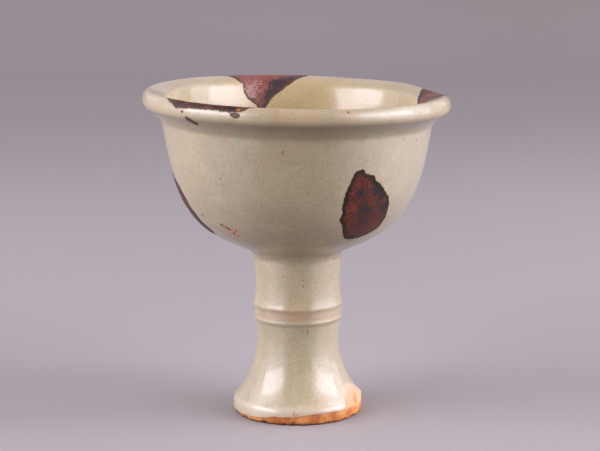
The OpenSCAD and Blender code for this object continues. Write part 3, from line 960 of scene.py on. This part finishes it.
# outlines of the spots (azimuth in degrees, length s) and their clouds, dark over 0 and pale under it
SPOT = [
    (27.6, 89.5), (29, 89.5), (30.2, 88.6), (32, 88), (34.8, 87.3), (37, 85.6), (40.5, 83.9), (44.1, 81.4),
    (47.1, 79.3), (48.6, 77), (49.9, 74.1), (50.5, 71), (50, 68.6), (46.5, 66.9), (42, 65.7), (36.9, 64.9),
    (30.5, 65.4), (27.4, 66.8), (24.6, 69.9), (22.9, 72.4), (20.9, 74), (21.6, 75.6), (21, 78), (21.2, 80),
    (21.6, 82.2), (22.2, 84.3), (23.6, 86.2), (24.4, 87.7), (25.6, 88.9),
]
SPOT_TONE = [
    (29.1, 82.6, 1.7, 0.7), (33.5, 77.4, 2.3, 0.95), (35, 73, 2.2, 0.5), (37.4, 83, 1.9, 0.7),
    (41.3, 80.8, 1.5, 0.8), (44.6, 77, 1.5, 0.7), (43.4, 79, 0.9, -0.5), (22.5, 81, 1.6, 0.6),
    (32.4, 67, 2.6, 0.55), (28, 88.4, 1.5, 0.6), (34, 86.6, 1.5, 0.5), (24.3, 83.1, 1.8, -0.4),
    (26.1, 77.5, 2.6, -0.5), (25.5, 73, 2.4, -0.4), (37, 78.9, 1.5, -0.5), (45, 71, 2.4, -0.35),
    (31.5, 85.2, 1.6, -0.4),
]
LEFT_SPOT = [
    (-80, 84.8), (-76, 83.6), (-72, 82), (-69.2, 80.6), (-67.5, 79.4), (-66, 77.6), (-65.8, 76),
    (-63.8, 73.4), (-63.4, 71.6), (-61.2, 68.6), (-59.8, 66.3), (-62.5, 64.6), (-68, 64), (-74, 61.9),
    (-82, 62.6), (-90, 63.6), (-95, 67.8), (-95.4, 72), (-98, 76), (-95, 81), (-91, 82.4), (-86, 86.6),
]
LEFT_TONE = [
    (-66, 72, 2.6, 0.6), (-80, 80, 3, 0.8), (-86, 71, 2.6, 0.7), (-74, 67, 2.4, 0.5), (-74, 75, 2.6, -0.4),
    (-90, 77, 2.4, -0.4),
]
BACK_SPOT = [
    (149, 88.6), (146.2, 86), (143, 84.4), (141.5, 79), (139.9, 76.2), (141.8, 71.6), (142.6, 68.4),
    (146.5, 65.6), (152, 64.9), (156, 63.4), (164, 64.4), (169, 66.6), (170.4, 70.6), (173.4, 74.4),
    (171.2, 79), (169.6, 82.6), (163, 84.9), (160.4, 87.6), (154, 89.8),
]
BACK_TONE = [
    (150, 83, 2.4, 0.8), (160, 76, 2.8, 0.85), (149, 72, 2.2, 0.6), (166, 70, 2.2, 0.6),
    (156, 67, 2.2, 0.5), (154, 78, 2.2, -0.4), (165, 80, 2.4, -0.3),
]
for name, line, tone, seed in (("iron_spot_front", SPOT, SPOT_TONE, 71),
                               ("iron_spot_left", LEFT_SPOT, LEFT_TONE, 73),
                               ("iron_spot_back", BACK_SPOT, BACK_TONE, 75)):
    patches(name, IRON, [dab(line, ref=33, seed=seed, tone=tone)])

# splashes on the lip (azimuth, lower and upper edge past its outermost line), with dark and rusty clouds
FRONT_SPLASH = [
    (-58.5, 4.4, 4.8), (-55, 3.1, 5), (-51, 2.1, 5), (-48, 1.25, 4.9), (-44, 1.3, 4.8), (-41, 1.55, 4.7),
    (-37, 1.75, 4.6), (-31, 1.75, 4.5), (-26, 1.65, 4.5), (-22.5, 1.7, 4.5), (-20, 1.85, 4.5),
    (-18.2, 2.3, 4.4), (-17.2, 3.3, 4.4), (-14, 3.7, 4.4), (-10.5, 4, 4.4),
]
FRONT_TONE = [
    (-57, 4.4, 1.6, 0.6), (-53, 3.6, 1.5, -0.5), (-46, 3.6, 1.6, 0.3), (-24, 3.8, 1.6, 0.5),
    (-33, 2.6, 1.8, -0.2), (-16, 4, 1.6, 0.6),
]
FRONT_WARM = [
    (-21.8, 2.8, 0.65, 0.6), (-20.4, 2.4, 0.7, 0.7), (-19, 3, 0.55, 0.6), (-24, 2.4, 0.45, 0.45),
    (-33.5, 2.2, 0.5, 0.4),
]
BACK_SPLASH = [
    (173.5, 3.6, 3.9), (176.4, 2.4, 4.95), (180.9, 1.9, 8.5), (185.7, 1.8, 11.1), (189.3, 1.8, 12.7),
    (192.6, 1.8, 14.3), (194.7, 1.8, 16.2), (196.5, 1.8, 17.6), (199, 1.8, 17.7), (201, 1.8, 15.9),
    (204, 1.8, 14.6), (205.5, 1.8, 13.8), (206.6, 1.8, 11.8), (206.5, 1.8, 9.7), (207.9, 1.9, 8.7),
    (208.8, 2.1, 6.5), (210.2, 2.6, 4.4), (213, 3.2, 3.7),
]
# the pale clouds (under 0) near azimuth 200 are partly a painted reflection of the lamp's highlight
BACK_SPLASH_TONE = [
    (192.9, 12.7, 1.9, 0.9), (190.8, 10.4, 1.9, 0.95), (189, 8.8, 1.8, 0.85), (186, 8.4, 1.9, 0.75),
    (193.8, 14.7, 1.9, 0.8), (182.5, 6, 2, 0.5), (178.6, 4.4, 1.8, 0.5), (186.4, 10, 1.5, 0.4),
    (181.6, 7.4, 1.4, 0.4), (197.7, 16, 2, 0.5), (210, 4, 1.9, 0.7), (208.6, 6, 1.4, 0.5),
    (203.6, 11.2, 2.3, -0.65), (202.4, 13.6, 1.8, -0.35), (199, 9.6, 2.4, -0.3), (200.5, 5.4, 2.2, -0.15),
]
BACK_SPLASH_WARM = [
    (191.4, 4.8, 2.2, 0.75), (194, 7.8, 1.7, 0.65), (187.4, 4.2, 1.6, 0.6), (196.4, 4.8, 1.8, 0.45),
]
RIGHT_SPLASH = [
    (80, 5.6, 6.2), (82, 5.3, 7.2), (84, 4.9, 8.2), (86, 4.3, 9), (88.2, 3.2, 9.7), (90.5, 2.3, 10.2),
    (93.6, 1.8, 10.7), (99.6, 1.6, 11.3), (103, 1.6, 11.5), (105.3, 1.7, 11.4), (107, 1.8, 10.3),
    (108.3, 1.9, 9.1), (111.5, 2.3, 7.5), (114.9, 3.1, 5.9), (116.5, 4, 4.7),
]
RIGHT_TONE = [
    (112.5, 6.4, 1.6, 0.8), (109.4, 8.4, 1.5, 0.8), (106.6, 10.2, 1.5, 0.8), (92, 9, 1.9, 0.5),
    (103, 6.6, 2.2, -0.6), (98, 5.2, 1.8, -0.5), (87, 5.6, 1.7, 0.5),
]
# drops below the splash at the front
DROP = [(-23.6, 1.1), (-22.2, 1.5), (-20.4, 1.4), (-19.9, 0.7), (-20.9, 0.2), (-22.5, 0.4)]
SMALL_DROP = [(-44.9, 0.5), (-44.3, 0.6), (-43.9, 0.4), (-44.5, 0.28)]
LOW_DROP = [(-43.1, -1.2), (-41.7, -0.8), (-39.9, -1.9), (-39.3, -3.6), (-40.7, -4.5), (-42.6, -3.5)]
DROP_TONE, LOW_DROP_TONE = [(-21.6, 0.9, 1.3, -0.9)], [(-41.4, -2.5, 3, -0.6)]

patches("iron_splash_front", IRON_LIP, [
    strip(FRONT_SPLASH, ref=43, seed=81, tone=FRONT_TONE, warm=FRONT_WARM),
    dab(past_lip(DROP), ref=43.9, rag=0.04, n=110, rings=16, seed=83, tone=past_lip(DROP_TONE)),
    dab(past_lip(SMALL_DROP), ref=43.9, rag=0.04, n=40, rings=8, seed=85),
    dab(past_lip(LOW_DROP), ref=42.5, rag=0.05, n=80, rings=12, seed=87, tone=past_lip(LOW_DROP_TONE)),
])
patches("iron_splash_right", IRON_RIGHT, [strip(RIGHT_SPLASH, ref=41, seed=89, tone=RIGHT_TONE)])
patches("iron_splash_back", IRON_FAR, [
    strip(BACK_SPLASH, ref=39, seed=91, tone=BACK_SPLASH_TONE, warm=BACK_SPLASH_WARM),
])


# Floor, light, camera
# light that the paper throws back: far from the cup, round the foot and under it
PAPER_BOUNCE, PAPER_NEAR = (0.085, 0.072, 0.062, 1), (0.46, 0.4, 0.35, 1)
PAPER_UNDER = (0.03, 0.024, 0.018, 1)
PAPER_GLOW = [(0.35, BLACK), (0.44, (0.016, 0.014, 0.0155, 1)), (0.55, (0.049, 0.042, 0.046, 1)),
              (0.66, (0.08, 0.069, 0.075, 1)), (0.73, (0.098, 0.084, 0.09, 1)), (1, (0.108, 0.093, 0.1, 1))]
PAPER_TONES = [(0, rgb(174, 167, 167)), (0.26, rgb(173, 166, 166)), (0.39, rgb(167, 160, 161)),
               (0.52, rgb(162, 155, 156)), (1, rgb(154, 147, 148))]
FAR_GLOW, FAR_RIGHT = (0.4, 0.35, 0.38, 1), (0.93, 0.915, 0.905, 1)


def paper_material():
    """Pale paper, whose tone for the camera is set apart from the light that it throws on the cup."""
    g = Shader("paper")
    fibre = g.noise(0.8, 3)
    x, y, _ = g.xyz()
    aside = g.math("ABSOLUTE", x)
    g.colour = g.ramp(g.near(y, -200, 1500), *PAPER_TONES)
    # painted shadow: a little greyer in a strip across the paper at the cup, where its shadows fall to the
    # sides
    cup_shadow_strip = g.near(g.math("ABSOLUTE", g.math("SUBTRACT", y, 12)), 14, 52, 1, 0)
    g.paint(cup_shadow_strip, rgb(245, 245, 245), "MULTIPLY")
    # painted shade: darker out beside the lamps, evening out the step where their light ends on the paper
    g.paint(g.near(aside, 280, 900), rgb(190, 189, 190), "MULTIPLY")
    g.paint(0.1, g.ramp(fibre, (0.3, rgb(225, 225, 225)), (0.7, WHITE)), "MULTIPLY")
    # in the gloss the paper shows beside and behind the cup; the side of the camera is dark
    rays = g.add("LightPath").outputs
    mirrored = g.times(rays["Is Glossy Ray"], g.near(y, -120, 40))
    shown = g.math("MAXIMUM", rays["Is Camera Ray"], rays["Is Transmission Ray"])
    shown = g.math("MAXIMUM", shown, mirrored)
    deep = g.add("MapRange", {0: y, 1: 0, 2: 1500, 3: 0, 4: 1}).outputs[0]
    glow = g.ramp(deep, *PAPER_GLOW)
    # a little darker towards the far right
    side = g.times(g.near(x, -40, 230), g.near(y, 200, 800))
    g.paint(side, FAR_RIGHT, "MULTIPLY")
    glow = g.mix(side, glow, FAR_RIGHT, "MULTIPLY")
    # behind the lamps the camera still sees pale paper
    out = g.times(g.near(aside, 550, 1050), rays["Is Camera Ray"])
    glow = g.mix(out, glow, FAR_GLOW)
    # light thrown back on to the cup: mostly from the paper close round the foot
    reach = g.vector("LENGTH", g.p)
    bounce = g.mix(g.near(reach, 26, 66), PAPER_NEAR, PAPER_BOUNCE)
    bounce = g.mix(g.near(reach, foot_r, foot_r + 4), PAPER_UNDER, bounce)
    g.colour = g.mix(out, g.mix(shown, bounce, g.colour), BLACK)
    return g.finish(0.85, fibre, 0.05, 0.0001, Emission_Color=glow, Emission_Strength=shown)


def sweep():
    """A sheet of backdrop paper: floor, wide bend, wall."""
    r, back, high, front, near, half, drop = 0.6, 1.5, 2.4, -14, 0.4, 14, 0.00005
    line = [(y, 0.0) for y in (front, -near, 0.0, near, back - r)]
    line += [(back - r + r * math.sin(a), r - r * math.cos(a)) for a in np.linspace(0, math.pi / 2, 17)[1:]]
    line += [(back, high)]
    verts = [(x, y, z - drop) for y, z in line for x in (-half, half)]
    faces = [(2 * i, 2 * i + 1, 2 * i + 3, 2 * i + 2) for i in range(len(line) - 1)]
    mesh = smooth_mesh("backdrop", verts, faces)
    mesh.materials.append(paper_material())
    paper = placed("backdrop", mesh)


# lamps: azimuth from the front and height in degrees, distance, width and height in metres, watts
LAMPS = {
    "softbox_left": (-64, 24, 0.8, 0.7, 0.36, 4.7),
    "softbox_right": (71.5, 25, 0.8, 0.66, 0.33, 3.1),
    "wide_left": (-71, 24, 0.95, 1.5, 0.9, 4.2),
    "wide_right": (78, 24, 0.95, 1.6, 0.9, 9),
    "fill_left": (-108, 24, 1.2, 2.2, 1.3, 5.8),
    "fill_right": (108, 24, 1.2, 2.2, 1.3, 6.8),
    "fill_back": (180, 40, 0.9, 1.6, 1, 1.5),
}
LAMP_TINT, LAMP_AIM = (1.0, 0.957, 1.07), Vector((0, 0, 0.05))


def softbox(name, az, el, distance, wide, tall, watts):
    data = bpy.data.lights.new(name, "AREA")
    data.shape, data.size, data.size_y = "RECTANGLE", wide, tall
    data.energy, data.color = watts, LAMP_TINT
    lamp = placed(name, data)
    a, e = math.radians(az), math.radians(el)
    way = Vector((math.sin(a) * math.cos(e), -math.cos(a) * math.cos(e), math.sin(e)))
    lamp.location = LAMP_AIM + way * distance
    lamp.rotation_euler = way.to_track_quat("Z", "Y").to_euler()


def studio_air(tint, strength):
    world = bpy.data.worlds.new("studio")
    world.use_nodes = True
    background = world.node_tree.nodes["Background"]
    background.inputs["Color"].default_value = tint
    background.inputs["Strength"].default_value = strength
    bpy.context.scene.world = world


def photo_camera(lens, place, down_deg, roll_deg):
    data = bpy.data.cameras.new("camera")
    data.lens, data.sensor_width = lens, 36.0
    data.clip_start, data.clip_end = 0.01, 20.0
    camera = placed("camera", data)
    camera.location = place
    pitch = Matrix.Rotation(math.radians(90 - down_deg), 3, "X")
    camera.rotation_euler = (pitch @ Matrix.Rotation(math.radians(roll_deg), 3, "Z")).to_euler()
    bpy.context.scene.camera = camera


sweep()
for name, sizes in LAMPS.items():
    softbox(name, *sizes)
studio_air(tint=(1.0, 0.96, 0.95, 1.0), strength=0.03)
photo_camera(lens=110.53, place=(0.0008, -0.52636, 0.15459), down_deg=10.725, roll_deg=-0.25)
bpy.context.scene.view_settings.view_transform = "Standard"
